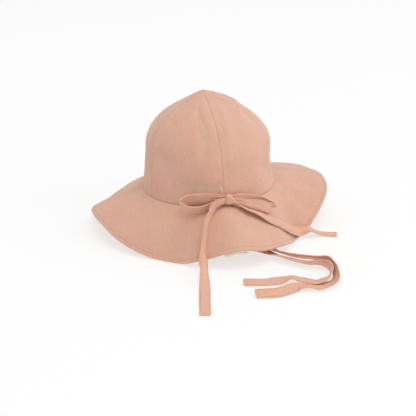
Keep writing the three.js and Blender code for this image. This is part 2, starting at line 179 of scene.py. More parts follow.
LEFT_TIE = [
    ("seam", 285, 5, 15, 0, 14),
    ("seam", 285, -8, 15, 0, 14),
    (-61, -21, 17, 350, 0, 14),
    (-49, -32, 3.5, 325, 0, 14),
    (-26, -49, 1.2, 322, 0, 14),
    (6, -70, 1.2, 320, 0, 14),
    (32, -92, 1.6, 312, 3, 14),
    (42.5, -111, 3.2, 308, 16, 14),
    (51, -124.8, 5.2, 320, 35, 14),
    (61.4, -135.5, 5.6, 329, 39, 14),
    (72.3, -143.6, 5.5, 334, 39, 14),
    (82.2, -146.5, 5.8, 330, 43, 14),
    (88.6, -154.5, 6.6, 325, 56, 14),
    (89.6, -165, 7.8, 320, 86, 14),
    (86.6, -174.6, 7.3, 62, 70, 14),
    (78.8, -180.2, 4.9, 30, 27, 14),
    (71, -181.2, 2.6, 350, 13, 14),
    (62.8, -176.7, 2.1, 339, 8, 14),
    (56, -171.3, 2.1, 337, 9, 14),
    (49.2, -167, 3, 340, 16, 14),
    (40.2, -166.6, 1.6, 342, 4, 14),
    (33, -168.6, 1.5, 346, -4, 14),
    (20.3, -167.5, 1.2, 347, 0, 14),
    (-0.9, -163.2, 1.4, 358, -3, 14),
]
LABEL_TAPE = [
    ("brim", 353.8, 0.965, -6.7, 354, 75, 7.5),
    ("brim", 357.9, 0.965, -6.7, 358, 75, 7.5),
    ("brim", 2, 0.965, -6.7, 2, 75, 7.5),
    ("brim", 6.1, 0.965, -6.7, 6, 75, 7.5),
]


# The hat's own surfaces
def direction(angle):
    turned = np.radians(angle)
    return np.stack([np.sin(turned), -np.cos(turned), np.zeros_like(turned)], axis=-1)


def lean_matrix():
    x, y, _ = direction(np.array(float(LEAN_DIRECTION)))
    axis = np.array([-y, x, 0.0])
    cross = np.array([[0, 0, axis[1]], [0, 0, -axis[0]], [-axis[1], axis[0], 0]])
    turn = math.radians(LEAN_ANGLE)
    return np.eye(3) + math.sin(turn) * cross + (1 - math.cos(turn)) * cross @ cross


LEAN = lean_matrix()


def leaned(points):
    return points @ LEAN.T + np.array([0, 0, SEAM_HEIGHT])


def smooth_rows(rows, place, closed=False):
    """The rows of a table, read smoothly at places between them."""
    last = len(rows) - 1
    row = np.clip(np.floor(place).astype(int), 0, last if closed else last - 1)
    share = (place - row)[..., None]

    def at(k):
        return rows[k % len(rows)] if closed else rows[np.clip(k, 0, last)]

    before, start, end, after = at(row - 1), at(row), at(row + 1), at(row + 2)
    bend = 2 * before - 5 * start + 4 * end - after
    twist = 3 * (start - end) + after - before
    return start + 0.5 * share * (end - before + share * (bend + share * twist))


def oval_radius(angle, widths):
    """The radius of an oval with half-widths back, right, front and left."""
    level = direction(angle)
    side = np.where(level[..., 0] > 0, widths[..., 1], widths[..., 3])
    end = np.where(level[..., 1] > 0, widths[..., 2], widths[..., 0])
    return 1 / np.hypot(level[..., 0] / side, level[..., 1] / end)


def panel_place(angle):
    """How far across its panel a direction lies, and its degrees from the nearest seam."""
    seams = np.array(PANEL_SEAMS + [360.0])
    turned = np.mod(angle, 360)
    number = np.searchsorted(seams, turned, side="right") - 1
    span = seams[number + 1] - seams[number]
    across = (turned - seams[number]) / span
    return number, across, np.minimum(across, 1 - across) * span


def crown_middle(angle, share):
    """The middle of the crown's cloth: share runs from 0 at the seam to 1 at the top."""
    rows = smooth_rows(CROWN_ROWS, share * (len(CROWN_ROWS) - 1))
    across = panel_place(angle)[1]
    ridge = PANEL_FLATNESS * np.sin(np.pi * share) * np.cos(2 * np.pi * across)
    radius = oval_radius(angle, rows[..., 1:]) * (1 + ridge)
    point = direction(angle) * radius[..., None]
    point[..., 2] = CROWN_FOOT + rows[..., 0] * (CROWN_HEIGHT - CROWN_FOOT) / CROWN_HEIGHT
    return leaned(point)


def brim_edge(angle):
    turned = np.mod(angle, 360)
    starts = BRIM_ROWS[:, 0]
    ends = np.append(starts[1:], 360)
    row = np.searchsorted(starts, turned, side="right") - 1
    place = row + (turned - starts[row]) / (ends[row] - starts[row])
    edge = smooth_rows(BRIM_ROWS[:, 1:], place, closed=True)
    return edge[..., 0], edge[..., 1]


def brim_middle(angle, share, soft=0.0):
    """The middle of the brim's cloth: share runs from 0 at the seam to 1 at the edge.

    Where the brim would go under the floor it lies on it, and soft rounds the bend there.
    """
    widths = np.broadcast_to(np.array(SEAM_OVAL, float), np.shape(angle) + (4,))
    inner = leaned(direction(angle) * oval_radius(angle, widths)[..., None])
    reach, height = brim_edge(angle)
    outer = direction(angle) * reach[..., None]
    point = inner + (outer - inner) * np.asarray(share)[..., None]
    drop = inner[..., 2] - height - BRIM_CLOTH / 2
    above = inner[..., 2] - drop * share**BRIM_EASE - BRIM_CLOTH / 2
    if soft:
        above = (above + np.hypot(above, soft)) / 2 - FLOOR_SINK * soft
    point[..., 2] = BRIM_CLOTH / 2 + np.maximum(above, 0)
    return point


def over_brim(angle, share, lift):
    """A point lifted off the brim's cloth, square to it by the slope a little to each side."""
    turns = np.array([angle, angle + SLOPE_TURN, angle - SLOPE_TURN, angle, angle], float)
    further = min(share + SLOPE_SHARE, 1)
    shares = np.array([share, share, share, share - SLOPE_SHARE, further])
    middle, after, before, inward, outward = brim_middle(turns, shares)
    normal = np.cross(after - before, inward - outward)
    return middle + normal / np.linalg.norm(normal) * (BRIM_CLOTH / 2 + lift)


def in_seam(angle, above):
    """A point just inside the head seam, for the middle of a tie that is sewn there."""
    angle = np.array(float(angle))
    radius = oval_radius(angle, np.array(SEAM_OVAL, float))
    inset = PIECE_GAP + TIE_INSET + RIBBON_CLOTH / 2
    point = direction(angle) * (radius - inset)
    point[2] = above
    return leaned(point)


def centripetal(points, place):
    """A smooth curve through the points, at a place from 0 to 1."""
    points = np.vstack([2 * points[0] - points[1], points, 2 * points[-1] - points[-2]])
    scaled = np.clip(place, 0, 1) * (len(points) - 3)
    row = np.minimum(np.floor(scaled).astype(int), len(points) - 4)
    share = (scaled - row)[:, None]
    p0, p1, p2, p3 = (points[row + k] for k in range(4))

    def gap(a, b):
        return np.sqrt(np.maximum(np.linalg.norm(b - a, axis=1), 1e-4))[:, None]

    d0, d1, d2 = gap(p0, p1), gap(p1, p2), gap(p2, p3)
    t1 = ((p1 - p0) / d0 - (p2 - p0) / (d0 + d1) + (p2 - p1) / d1) * d1
    t2 = ((p2 - p1) / d1 - (p3 - p1) / (d1 + d2) + (p3 - p2) / d2) * d1
    return (
        p1
        + t1 * share
        + (-3 * p1 + 3 * p2 - 2 * t1 - t2) * share**2
        + (2 * p1 - 2 * p2 + t1 + t2) * share**3
    )


# Relief
def soft_line(distance, width):
    """One at a line and falling softly to nothing at about twice a width from it."""
    return np.exp(-((distance / width) ** 2))


def lattice(cells, seed):
    """A repeatable number from 0 to 1 for each cell, as good as drawn at random."""
    value = np.sin(cells @ np.array([127.1, 311.7, 74.7]) + seed * 53.3) * 43758.5453
    return value - np.floor(value)


def soft_noise(points, size, seed):
    """Smooth repeatable noise from -1 to 1 with lumps of a size in millimetres."""
    scaled = points / size
    base = np.floor(scaled)
    part = scaled - base
    part = part * part * (3 - 2 * part)
    total = 0.0
    for corner in itertools.product((0, 1), repeat=points.shape[-1]):
        weight = np.prod(np.where(corner, part, 1 - part), axis=-1)
        cell = base + np.array(corner)
        if points.shape[-1] == 2:
            cell = np.concatenate([cell, np.zeros_like(cell[..., :1])], axis=-1)
        total = total + weight * lattice(cell, seed)
    return 2 * total - 1


def noise_layers(points, layers):
    """Smooth noise in layers, each with its height, size and seed."""
    return sum(height * soft_noise(points, size, seed) for height, size, seed in layers)


def fold_relief(chart, folds):
    """The height of folds, each a soft line (x, y, to x, to y, width, height) on a flat chart."""
    total = np.zeros(chart.shape[:-1])
    for x, y, to_x, to_y, width, height in folds:
        start, run = np.array([x, y]), np.array([to_x - x, to_y - y])
        length = np.linalg.norm(run)
        along = (chart - start) @ run / length**2
        off = chart - start - np.clip(along, 0, 1)[..., None] * run
        total += height * soft_line(np.linalg.norm(off, axis=-1), width)
    return total


# Camera
FRAME_PIXELS = 416
FOCAL_PIXELS = 963.6
AZIMUTH = -12.7
ELEVATION = 23.5
DISTANCE = 1100
TARGET = (0, 0, 12.5)


def to_frame(points):
    return (np.asarray(points, float) + MIDDLE) * MM


def camera_axes():
    turn, rise = math.radians(AZIMUTH), math.radians(ELEVATION)
    level = math.cos(rise)
    back = Vector((math.sin(turn) * level, -math.cos(turn) * level, math.sin(rise)))
    right = Vector((math.cos(turn), math.sin(turn), 0))
    return right, back.cross(right), back


def add_camera():
    data = bpy.data.cameras.new("camera")
    data.sensor_width = 36
    data.lens = data.sensor_width * FOCAL_PIXELS / FRAME_PIXELS
    data.clip_start = 0.05
    data.clip_end = 20
    camera = bpy.data.objects.new("camera", data)
    back = camera_axes()[2]
    camera.location = Vector(to_frame(TARGET)) + back * DISTANCE * MM
    camera.rotation_euler = back.to_track_quat("Z", "Y").to_euler()
    bpy.context.collection.objects.link(camera)
    bpy.context.scene.camera = camera


add_camera()


# Materials
WOVEN_LOOK = {
    "Roughness": 0.92,
    "Specular IOR Level": 0.18,
    "Sheen Weight": 0.18,
    "Sheen Roughness": 0.55,
    "Subsurface Weight": 0.4,
    "Subsurface Radius": (1.0, 0.42, 0.22),
    "Subsurface Scale": 0.003,
}
DYE_RANGE = (0.70, 1.22)
SLUB_STRETCH = (1400, 110)
WARP_STREAK = (420, 75)
WEFT_STREAK = (90, 380)
DYE_SCALE = 48.0
GRAIN_SCALE = 520.0
# How much of each layer shows in the colour, and of the crossing threads in the relief
DYE_AMOUNT = 0.45
SLUB_AMOUNT = 0.42
GRAIN_AMOUNT = 0.3
STREAK_AMOUNT = 0.24
WEFT_AMOUNT = 0.5
WEAVE_AMOUNT = 0.35


def node_tree(name):
    material = bpy.data.materials.new(name)
    material.use_nodes = True
    return material, material.node_tree, material.node_tree.nodes["Principled BSDF"]


def fill_inputs(tree, node, inputs):
    """Sets a node's inputs to numbers, or joins them to what comes out of other nodes."""
    for socket, value in inputs.items():
        if isinstance(value, bpy.types.NodeSocket):
            tree.links.new(value, node.inputs[socket])
        else:
            node.inputs[socket].default_value = value


def add_node(tree, kind, inputs):
    node = tree.nodes.new(kind)
    fill_inputs(tree, node, inputs)
    return node


def maths(tree, operation, *values):
    node = tree.nodes.new("ShaderNodeMath")
    node.operation = operation
    fill_inputs(tree, node, dict(enumerate(values)))
    return node.outputs[0]


def noise_map(tree, vector, scale, detail=2.0):
    inputs = {"Vector": vector, "Scale": scale, "Detail": detail}
    return add_node(tree, "ShaderNodeTexNoise", inputs).outputs["Fac"]


def stretched_noise(tree, vector, wide, high):
    inputs = {"Vector": vector, "Scale": (wide, high, 1)}
    mapping = add_node(tree, "ShaderNodeMapping", inputs)
    return noise_map(tree, mapping.outputs["Vector"], 1.0)


def cloth_material(name, dark, light, thread=0.45, relief=0.00012):
    """Plain woven cotton: crossing threads, thicker slubs and a soft unevenness of the dye."""
    material, tree, shader = node_tree(name)
    chart = tree.nodes.new("ShaderNodeUVMap")
    chart.uv_map = "cloth"
    flat = chart.outputs["UV"]
    place = tree.nodes.new("ShaderNodeTexCoord").outputs["Object"]

    split = add_node(tree, "ShaderNodeSeparateXYZ", {0: flat})
    turns = math.pi / (thread * MM)
    warp = maths(tree, "SINE", maths(tree, "MULTIPLY", split.outputs[0], turns))
    weft = maths(tree, "SINE", maths(tree, "MULTIPLY", split.outputs[1], turns))
    weave = maths(tree, "MULTIPLY", warp, weft)
    slub_warp = stretched_noise(tree, flat, *SLUB_STRETCH)
    slub_weft = stretched_noise(tree, flat, *SLUB_STRETCH[::-1])
    slubs = maths(tree, "ADD", slub_warp, slub_weft)

    streak_warp = stretched_noise(tree, flat, *WARP_STREAK)
    streak_weft = stretched_noise(tree, flat, *WEFT_STREAK)
    streaks = maths(tree, "MULTIPLY_ADD", streak_weft, WEFT_AMOUNT, streak_warp)
    dye = noise_map(tree, place, DYE_SCALE, 3.0)
    grain = noise_map(tree, place, GRAIN_SCALE)
    mottle = maths(tree, "MULTIPLY", dye, DYE_AMOUNT)
    layers = ((slubs, SLUB_AMOUNT), (grain, GRAIN_AMOUNT), (streaks, STREAK_AMOUNT))
    for layer, amount in layers:
        mottle = maths(tree, "MULTIPLY_ADD", layer, amount, mottle)
    low, high = DYE_RANGE
    ramp = add_node(
        tree, "ShaderNodeMapRange", {"Value": mottle, "From Min": low, "From Max": high}
    )
    mix = tree.nodes.new("ShaderNodeMix")
    mix.data_type = "RGBA"
    fill_inputs(tree, mix, {"A": (*dark, 1), "B": (*light, 1), "Factor": ramp.outputs[0]})

    height = maths(tree, "MULTIPLY_ADD", weave, WEAVE_AMOUNT, slubs)
    bump = add_node(
        tree, "ShaderNodeBump", {"Height": height, "Distance": relief, "Strength": 1.0}
    )
    fill_inputs(tree, shader, WOVEN_LOOK)
    surface = {"Base Color": mix.outputs["Result"], "Normal": bump.outputs["Normal"]}
    fill_inputs(tree, shader, surface)
    return material


PEACH = cloth_material("peach_cotton", (0.60, 0.354, 0.258), (0.715, 0.430, 0.321))
RIBBON = cloth_material(
    "ribbon_cotton", (0.635, 0.366, 0.262), (0.75, 0.442, 0.322), relief=0.00008
)
THREAD = cloth_material("stitching_thread", (0.50, 0.28, 0.20), (0.62, 0.36, 0.26), thread=0.2)
TAPE = cloth_material(
    "cream_tape", (0.85, 0.75, 0.66), (0.93, 0.84, 0.75), thread=0.3, relief=0.00005
)


# Meshes
def add_piece(name, points, faces, chart, material, replaced=()):
    """A smooth piece from points in millimetres, with the cloth's flat chart on its corners."""
    mesh = bpy.data.meshes.new(name)
    mesh.from_pydata([tuple(p) for p in to_frame(points)], [], faces)
    layer = mesh.uv_layers.new(name="cloth")
    layer.data.foreach_set("uv", (np.asarray(chart, float) * MM).ravel())
    joined = bmesh.new()
    joined.from_mesh(mesh)
    bmesh.ops.remove_doubles(joined, verts=joined.verts, dist=1e-7)
    bmesh.ops.dissolve_degenerate(joined, edges=joined.edges, dist=1e-8)
    bmesh.ops.recalc_face_normals(joined, faces=joined.faces)
    joined.to_mesh(mesh)
    joined.free()
    mesh.shade_smooth()
    mesh.materials.append(material)
    piece = bpy.data.objects.new(name, mesh)
    bpy.context.collection.objects.link(piece)
    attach(piece, "root")
    if replaced:
        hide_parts(*replaced)
    return piece


def grid_faces(grid, chart, wrap_rows=False, wrap_columns=False, caps=False):
    """Points, faces and corner charts of a grid. The chart has one more place each way."""
    rows, columns = grid.shape[:2]
    faces, corners = [], []
    for i in range(rows if wrap_rows else rows - 1):
        for j in range(columns if wrap_columns else columns - 1):
            here, below = i * columns, (i + 1) % rows * columns
            beside = (j + 1) % columns
            faces.append((here + j, here + beside, below + beside, below + j))
            corners += [chart[i, j], chart[i, j + 1], chart[i + 1, j + 1], chart[i + 1, j]]
    if caps:
        for row in (0, rows - 1):
            faces.append(tuple(row * columns + j for j in range(columns)))
            corners += [chart[row, j] for j in range(columns)]
    return grid.reshape(-1, 3), faces, corners


def closed_chart(chart):
    """A chart with its first column and row once more at its far sides."""
    chart = np.concatenate([chart, chart[:, :1]], axis=1)
    return np.concatenate([chart, chart[:1]], axis=0)


def round_normals(grid):
    """Normals of a grid whose rows go all round the hat and whose columns have two ends."""
    beside = np.roll(grid, -1, axis=0) - np.roll(grid, 1, axis=0)
    ahead = np.concatenate([grid[:, 1:], grid[:, -1:]], axis=1)
    behind = np.concatenate([grid[:, :1], grid[:, :-1]], axis=1)
    normal = np.cross(beside, ahead - behind)
    size = np.linalg.norm(normal, axis=-1, keepdims=True)
    return normal / np.maximum(size, 1e-9)


# Ribbons
def route_point(row):
    """The point that a row of a ribbon's route stands for."""
    if row[0] == "brim":
        return over_brim(*row[1:4])
    if row[0] == "seam":
        return in_seam(*row[1:3])
    return np.array(row[:3], float)


class Route:
    """A ribbon's middle line with its width, frame and distance along at fine steps."""

    def __init__(self, rows):
        points = np.array([route_point(row) for row in rows])
        turned = np.array([direction(np.array(float(row[-3]))) for row in rows])
        rise = np.radians([row[-2] for row in rows])
        across = turned * np.cos(rise)[:, None]
        across[:, 2] = np.sin(rise)
        place = np.linspace(0, 1, (len(rows) - 1) * ROUTE_STEPS + 1)
        self.points = centripetal(points, place)
        along = np.gradient(self.points, axis=0)
        along /= np.linalg.norm(along, axis=1)[:, None]
        wide = centripetal(across, place)
        wide -= along * np.sum(along * wide, axis=1)[:, None]
        self.across = wide / np.linalg.norm(wide, axis=1)[:, None]
        self.lift = np.cross(along, self.across)
        widths = np.array([[row[-1]] for row in rows], float)
        self.width = smooth_rows(widths, place * (len(rows) - 1))[:, 0]
        runs = np.linalg.norm(np.diff(self.points, axis=0), axis=1)
        self.distance = np.concatenate([[0], np.cumsum(runs)])
        self.length = self.distance[-1]

    def at(self, distance):
        """The points, sideways and upward directions and widths at distances along it."""

        def read(values):
            return np.stack([np.interp(distance, self.distance, v) for v in values.T], axis=-1)

        width = np.interp(distance, self.distance, self.width)
        return read(self.points), read(self.across), read(self.lift), width


# Distances from a ribbon's long edge and from its bare end at which its mesh has points
EDGE_STEPS = np.array([0, 0.08, 0.3, 0.65, 1.1, 1.4, 1.6, 1.8, 2.1, 2.8, 3.8])
END_STEPS = np.array([0, 0.06, 0.2, 0.45, 0.8, 1.2, 1.8, 2.3, 2.6, 2.8, 3.0, 3.3, 4.0])
RUN_STEP = 1.5
HEM = 1.6
END_HEM = 2.8
EDGE_ROLL = 0.65
CORNER_ROUND = 2.2
CORNER_CUT = 0.24
GROOVE_DEPTH = 0.2
GROOVE_WIDTH = 0.28
THINNEST = 0.01
FLOOR_ROOM = 0.05
FAR = 99.0
PLEAT_WAVES = 2.25
LONG_WRINKLE = np.array([7.0, 13.0])
FINE_WRINKLE = np.array([2.2, 4.5])
CHART_APART = 40


def across_steps(half):
    """Places across half a ribbon, close together at its edge and its stitching."""
    middle = np.linspace(EDGE_STEPS[-1], half, 4)[1:]
    return np.concatenate([EDGE_STEPS, middle]) / half


def run_steps(length, bare_ends):
    """Distances along a ribbon, close together at a bare end, and how far each is from one."""
    runs = [np.arange(0, length, RUN_STEP), [length]]
    starts_bare, ends_bare = bare_ends
    if starts_bare:
        runs.append(END_STEPS)
    if ends_bare:
        runs.append(length - END_STEPS)
    runs = np.unique(np.round(np.concatenate(runs), 3))
    to_end = np.full(len(runs), FAR)
    if starts_bare:
        to_end = np.minimum(to_end, runs)
    if ends_bare:
        to_end = np.minimum(to_end, length - runs)
    return runs, to_end


def rounded(distance, radius):
    """A quarter circle that climbs from 0 at an edge to 1 at a radius from it."""
    return np.sqrt(1 - (1 - np.clip(distance / radius, 0, 1)) ** 2)


def ribbon_thickness(from_edge, to_end):
    """Half the cloth's thickness, thin at its edges and sunk a little along its stitching."""
    along_edge = soft_line(from_edge - HEM, GROOVE_WIDTH) * (to_end > END_HEM - 0.6)
    across_end = soft_line(to_end - END_HEM, GROOVE_WIDTH) * (from_edge > HEM - 0.3)
    groove = GROOVE_DEPTH * along_edge + GROOVE_DEPTH * across_end
    thick = RIBBON_CLOTH / 2 * rounded(from_edge, EDGE_ROLL) * rounded(to_end, EDGE_ROLL)
    return np.maximum(thick - groove * np.minimum(1, thick / 0.3), THINNEST)


def ribbon_mesh(
    name, rows, full_width, material, nodes, seed, pleats=0.0, bare_ends=(False, True)
):
    """A ribbon as a closed ring of points at each step along its route."""
    route = Route(rows)
    runs, to_end = run_steps(route.length, bare_ends)
    points, across, lift, width = route.at(runs)
    fraction = across_steps(full_width / 2)
    from_edge = np.concatenate([fraction, fraction[-2::-1]])
    side = np.concatenate([1 - fraction, fraction[-2::-1] - 1])
    ring_side = np.concatenate([side, side[-2:0:-1]])
    ring_edge = np.concatenate([from_edge, from_edge[-2:0:-1]]) * full_width / 2
    ring_face = np.concatenate([np.ones(len(side)), -np.ones(len(side) - 2)])
    thick = ribbon_thickness(ring_edge, to_end[:, None])
    corner = 1 - CORNER_CUT * (1 - rounded(to_end, CORNER_ROUND))
    half = (width / 2 * corner)[:, None] * ring_side
    chart_across = ring_side * full_width / 2 + seed * CHART_APART
    chart = np.stack(np.broadcast_arrays(chart_across, runs[:, None]), axis=-1)
    wrinkle = noise_layers(chart, [(0.22, LONG_WRINKLE, seed), (0.07, FINE_WRINKLE, seed + 9)])
    narrow = np.clip(1 - width / full_width, 0, 1)[:, None]
    folds = pleats * narrow * np.cos(2 * np.pi * PLEAT_WAVES * (ring_side + 1) / 2)
    raised = wrinkle + folds + ring_face * thick
    grid = (
        points[:, None]
        + across[:, None] * half[..., None]
        + lift[:, None] * raised[..., None]
    )
    grid[..., 2] = np.maximum(grid[..., 2], FLOOR_ROOM)
    vertices, faces, corners = grid_faces(
        grid, closed_chart(chart), wrap_columns=True, caps=True
    )
    piece = add_piece(name, vertices, faces, corners, material, nodes)
    return piece, route


def stitch_rows(name, lines, length=2.0, pitch=2.7, width=0.42, height=0.16):
    """Rows of sewn stitches: each line holds its points and the cloth's normal at them."""
    ring = 6
    turn = np.arange(ring) * 2 * np.pi / ring
    section = np.stack([np.cos(turn) * width / 2, np.sin(turn) * height], axis=-1)
    ends = np.array([-1, -0.72, 0, 0.72, 1.0])
    swell = np.array([0.12, 0.8, 1.0, 0.8, 0.12])[:, None, None]
    blocks, faces, chart = [], [], []
    for points, normals in lines:
        steps = np.linalg.norm(np.diff(points, axis=0), axis=1)
        run = np.concatenate([[0], np.cumsum(steps)])
        for middle in np.arange(pitch * 0.6, run[-1] - pitch * 0.4, pitch):
            spots = middle + ends * length / 2
            line = np.stack([np.interp(spots, run, v) for v in points.T], axis=-1)
            up = np.stack([np.interp(spots, run, v) for v in normals.T], axis=-1)
            up /= np.linalg.norm(up, axis=1)[:, None]
            along = line[-1] - line[0]
            side = np.cross(along / np.linalg.norm(along), up)
            rings = (
                line[:, None]
                + side[:, None] * section[:, :1] * swell
                + up[:, None] * section[:, 1:] * swell
            )
            flat = np.zeros((len(ends), ring + 1, 2))
            flat[..., 0] = np.arange(ring + 1) * 0.3
            flat[..., 1] = spots[:, None]
            block, quads, corners = grid_faces(rings, flat, wrap_columns=True, caps=True)
            first = len(blocks) * len(block)
            faces += [tuple(k + first for k in quad) for quad in quads]
            chart += corners
            blocks.append(block)
    return add_piece(name, np.concatenate(blocks), faces, chart, THREAD)


STITCH_START = 8.0
STITCH_SINK = 0.12


def ribbon_stitches(route, full_width, bare_end):
    """Stitch lines along a ribbon's edges and across its bare end, on both faces."""
    runs = np.arange(STITCH_START, route.length - END_HEM, 0.8)
    points, across, lift, width = route.at(runs)
    end_point, end_across, end_lift, end_width = route.at(np.array([route.length - END_HEM]))
    count = 12
    spots = np.linspace(-1, 1, count)[:, None] * (end_width[0] / 2 - HEM)
    lines = []
    for face in (1, -1):
        height = face * (RIBBON_CLOTH / 2 - STITCH_SINK)
        for edge in (-1, 1):
            offset = edge * (width / 2 * (1 - HEM / (full_width / 2)))
            lines.append((points + across * offset[:, None] + lift * height, lift * face))
        if bare_end:
            line = end_point + end_across * spots + end_lift * height
            lines.append((line, np.repeat(end_lift * face, count, axis=0)))
    return lines


def free_ribbon(name, rows, width, seed, pleats=0.0, tuck=()):
    """A ribbon with a bare end, with its stitching along its edges and across that end."""
    piece, sewn = ribbon_mesh(
        f"{name}_cloth", [*tuck, *rows], width, RIBBON, (name,), seed, pleats=pleats
    )
    stitches = stitch_rows(f"{name}_stitching", ribbon_stitches(sewn, width, True))
    route = Route(rows)
    spots = np.linspace(0, route.length, max(16, int(route.length / 4)))
    line = to_frame(route.at(spots)[0])


# Rows inside the knot, so that the bow's ribbons run on into it
LEFT_TUCK = [(2.4, -82.5, 56.4, 0, 90, TUCK_WIDTH)]
RIGHT_TUCK = [(7.6, -83.4, 53.6, 347, 60, TUCK_WIDTH)]
TAIL_PLEATS = 1.1
LOOP_PLEATS = 1.0

free_ribbon(
    "bow_tail_left", LEFT_TAIL, BOW_WIDTH, seed=1, pleats=TAIL_PLEATS,
    tuck=LEFT_TUCK,
)
free_ribbon(
    "bow_tail_right", RIGHT_TAIL, BOW_WIDTH, seed=2, pleats=TAIL_PLEATS,
    tuck=RIGHT_TUCK,
)
free_ribbon("chin_tie_left", LEFT_TIE, TIE_WIDTH, seed=3)
free_ribbon("chin_tie_right", RIGHT_TIE, TIE_WIDTH, seed=4)


# Bow
def bow_loop(name, rows, seed, inward):
    """A loop of the bow, with both of its ends drawn inward into the knot."""
    first, last = (
        (row[0] + inward, row[1], *row[2:5], TUCK_WIDTH) for row in (rows[0], rows[-1])
    )
    route = ribbon_mesh(
        f"{name}_cloth", [first, *rows, last], BOW_WIDTH, RIBBON, (name,), seed,
        pleats=LOOP_PLEATS, bare_ends=(False, False),
    )[1]
    stitch_rows(f"{name}_stitching", ribbon_stitches(route, BOW_WIDTH, False))


bow_loop("bow_loop_left", LEFT_LOOP, seed=5, inward=3.4)
bow_loop("bow_loop_right", RIGHT_LOOP, seed=6, inward=-3.4)

KNOT = (4.8, -82.4, 56.8)
KNOT_TOP_WIDTH = 7
KNOT_FOOT_WIDTH = 12.6
KNOT_HEIGHT = 10.6
KNOT_DEPTH = 7.4
KNOT_SLANT = 0.7
KNOT_ROUNDNESS = 0.55
# Place across the knot, slant, width and depth of each crease
KNOT_CREASES = [(-2.6, 0.6, 0.45, 0.30), (1.7, 0.8, 0.5, 0.22), (3.4, -0.5, 0.35, 0.16)]


def knot_piece():
    """The ribbon wound once round the bow: a band over the top, down the front and under."""
    columns, ring = 25, 48
    across = np.sin(np.linspace(-1, 1, columns) * np.pi / 2)[:, None]
    turn = np.linspace(0, 2 * np.pi, ring, endpoint=False)
    up = np.sign(np.sin(turn)) * np.abs(np.sin(turn)) ** KNOT_ROUNDNESS
    out = np.sign(np.cos(turn)) * np.abs(np.cos(turn)) ** KNOT_ROUNDNESS
    swell = 0.42 + 0.58 * (1 - np.abs(across) ** 4) ** 0.5
    width = KNOT_FOOT_WIDTH + (KNOT_TOP_WIDTH - KNOT_FOOT_WIDTH) * (up + 1) / 2
    x = across * width / 2 - KNOT_SLANT * up
    crease = sum(
        depth * soft_line(x - place - slant * up, wide)
        for place, slant, wide, depth in KNOT_CREASES
    )
    shape = swell - crease / 5
    y = out * KNOT_DEPTH / 2 * shape
    z = up * KNOT_HEIGHT / 2 * (0.3 + 0.7 * shape)
    grid = np.stack([x, y, z], axis=-1) + np.array(KNOT)
    chart = np.stack(np.broadcast_arrays(x[:, :1], np.arange(ring + 1) * 0.75), axis=-1)
    points, faces, corners = grid_faces(grid, chart, wrap_columns=True, caps=True)
    add_piece("bow_knot_cloth", points, faces, corners, RIBBON, ("bow_knot",))


knot_piece()


# Label
ribbon_mesh(
    "label_tape", LABEL_TAPE, LABEL_WIDTH, TAPE, ("label",), seed=7,
    bare_ends=(True, True),
)


# Brim. The chart of its folds is its plan in millimetres.
BRIM_FOLDS = [
    (-20, -86, -19, -120, 8, -0.6),
    (-1, -92, 14, -124, 11, 1.1),
    (101, -13, 110, -28, 6, -1.3),
    (94, -52, 102, -60, 7, -1.0),
    (73, -22, 97, -36, 6, 1.1),
    (-76, 15, -112, 21, 8, 1.2),
    (90, 40, 122, 20, 9, 1.0),
    (-104, -33, -60, -80, 16, 0.9),
]
BRIM_WAVES = [(0.55, 26.0, 31), (0.22, 11.0, 32)]
HEM_INSET = 4.0
# Height and width of the sunk stitching and of the puckers beside it
HEM_GROOVE = (-0.32, 0.4)
HEM_PUCKERS = (0.16, 3.2)
EDGE_ROUND = BRIM_CLOTH / 2
BRIM_COLUMNS = 420
# The brim's points are evenly spread up to this far from its edge and then at these distances
FIELD_END = 7.8
NEAR_STEPS = np.array([
    7, 6, 5.3, 4.8, 4.5, 4.25, 4.0, 3.75, 3.5, 3.2, 2.7, 2.2, 1.7, EDGE_ROUND,
])
# Turn round the rolled edge in degrees, and how far the edge's middle is pressed in there
ROLL_TURNS = np.array([60, 35, 14, 0, -14, -35, -60])
ROLL_DENTS = np.array([0, 0, 0.06, 0.28, 0.06, 0, 0])


def brim_relief(middle, from_edge):
    """How far the cloth's face stands off its even thickness: the stitched hem and its puckers."""
    from_hem = from_edge - HEM_INSET
    groove, groove_width = HEM_GROOVE
    pucker, pucker_width = HEM_PUCKERS
    puff = 0.12 * np.clip(1 - np.abs(from_edge - 2.0) / 2.0, 0, 1)
    puckers = pucker * soft_noise(middle, 4.2, 21) * soft_line(from_hem, pucker_width)
    return groove * soft_line(from_hem, groove_width) + puff + puckers


